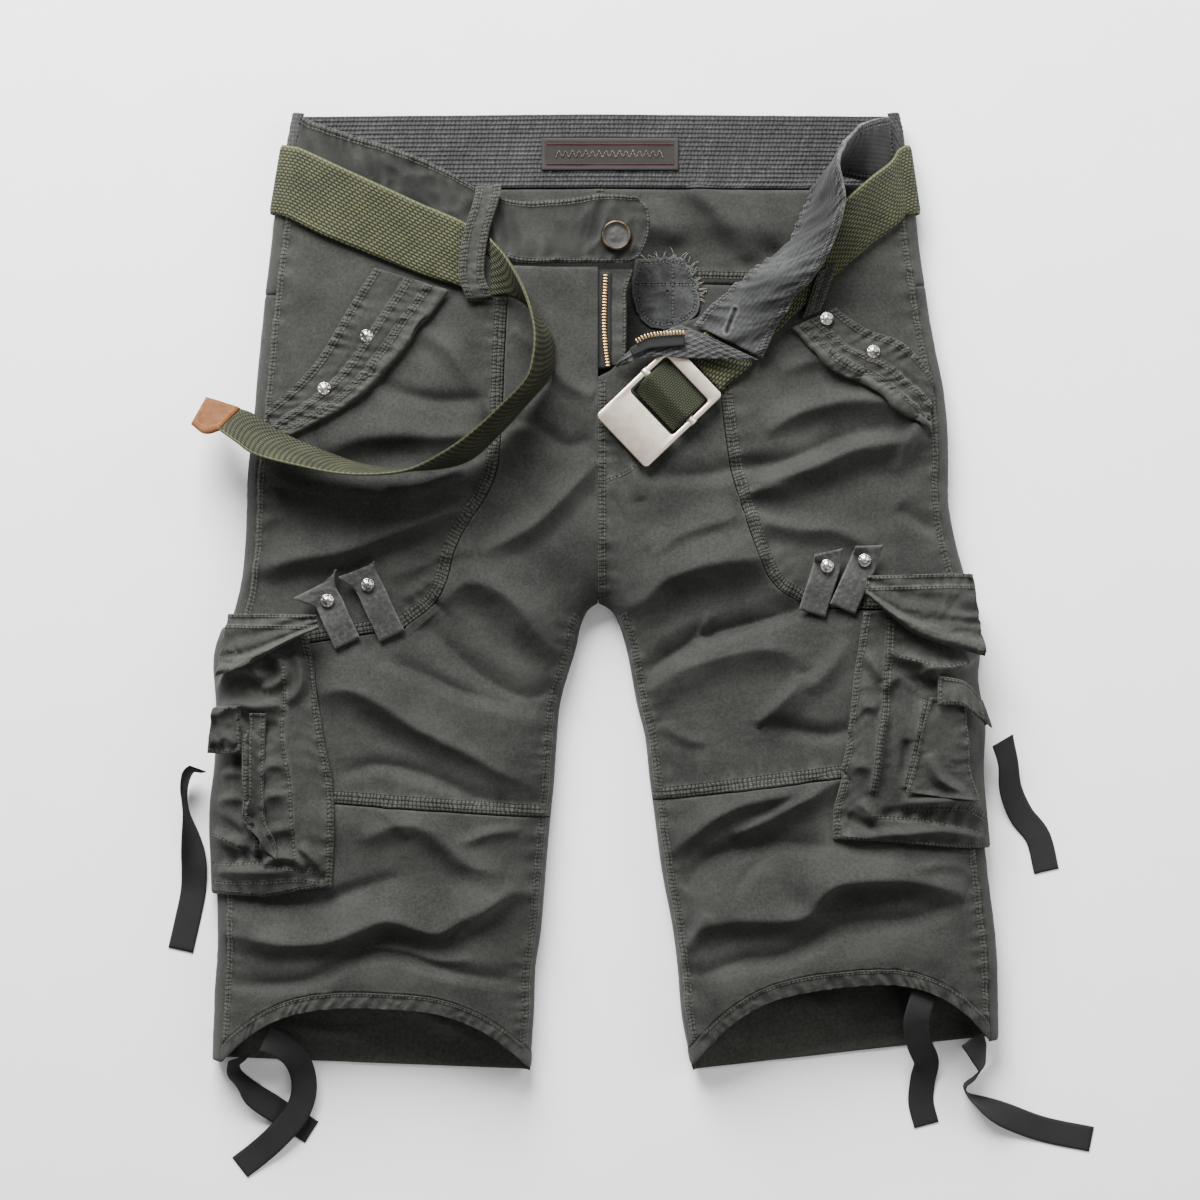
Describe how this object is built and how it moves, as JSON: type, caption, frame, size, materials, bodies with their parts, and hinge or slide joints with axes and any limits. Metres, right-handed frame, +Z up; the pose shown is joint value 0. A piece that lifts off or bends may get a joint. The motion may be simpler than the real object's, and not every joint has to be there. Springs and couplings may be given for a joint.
{
  "type": "cropped cargo trousers",
  "caption": "Knee-length cotton cargo trousers lying on their back, puffed, with an open fly, a webbing belt with a plate buckle, bellows pockets and hem drawstrings",
  "frame": {"origin": "on the surface that the garment lies on, under the middle of its box measured without the free tapes", "axes": "+Z up from the surface, +Y from the hems to the waist, +X to the wearer's left"},
  "size_m": [0.6565, 0.7532, 0.0931],
  "materials": {
    "cloth": "washed cotton twill, faded at the seams",
    "webbing": "coarse cotton webbing",
    "felt": "brushed felt",
    "tape": "matt woven tape",
    "label": "woven, bare",
    "leather": "smooth tan",
    "nickel": "brushed",
    "rivets": "bright, relief",
    "button": "darkened",
    "zip": "aged brass teeth"
  },
  "bodies": {
    "root": {"front_hip_r": "cloth", "front_hip_l": "cloth", "front_thigh_r": "cloth", "front_thigh_l": "cloth", "front_shin_r": "cloth", "front_shin_l": "cloth", "hem_casing_r": "cloth", "hem_casing_l": "cloth", "back_yoke_r": "cloth", "back_yoke_l": "cloth", "back_leg_r": "cloth", "back_leg_l": "cloth", "waistband_back": "cloth", "waistband_front_r": "cloth", "waistband_front_l": "cloth", "fly_facing_l": "cloth", "fly_shield_r": "cloth", "pocket_band_r": "cloth", "pocket_band_l": "cloth", "cargo_pocket_r": "cloth", "cargo_pocket_l": "cloth", "cargo_flap_r": "cloth", "cargo_flap_l": "cloth", "cargo_tab_r": "cloth", "cargo_tab_l": "cloth", "cargo_welt_r": "cloth", "cargo_welt_l": "cloth", "belt_loop_b1": "cloth", "belt_loop_b2": "cloth", "belt_loop_r": "cloth", "belt_loop_l": "cloth", "inner_patch": "cloth", "belt_web": "webbing", "belt_tail": "webbing", "belt_bight": "webbing", "belt_tip": "leather", "buckle_frame": "nickel", "buckle_bar": "nickel", "knee_tab_r1": "felt", "knee_tab_r2": "felt", "knee_tab_l1": "felt", "knee_tab_l2": "felt", "tab_rivet_r1": "rivets", "tab_rivet_r2": "rivets", "tab_rivet_l1": "rivets", "tab_rivet_l2": "rivets", "pocket_rivet_r1": "rivets", "pocket_rivet_r2": "rivets", "pocket_rivet_l1": "rivets", "pocket_rivet_l2": "rivets", "button": "button", "zip_tape_r": "zip", "zip_tape_l": "zip", "label": "label", "hem_tape_r1": "tape", "hem_tape_r2": "tape", "hem_tape_l1": "tape", "hem_tape_l2": "tape", "cargo_tape_r": "tape", "cargo_tape_l1": "tape"}
  },
  "joints": []
}
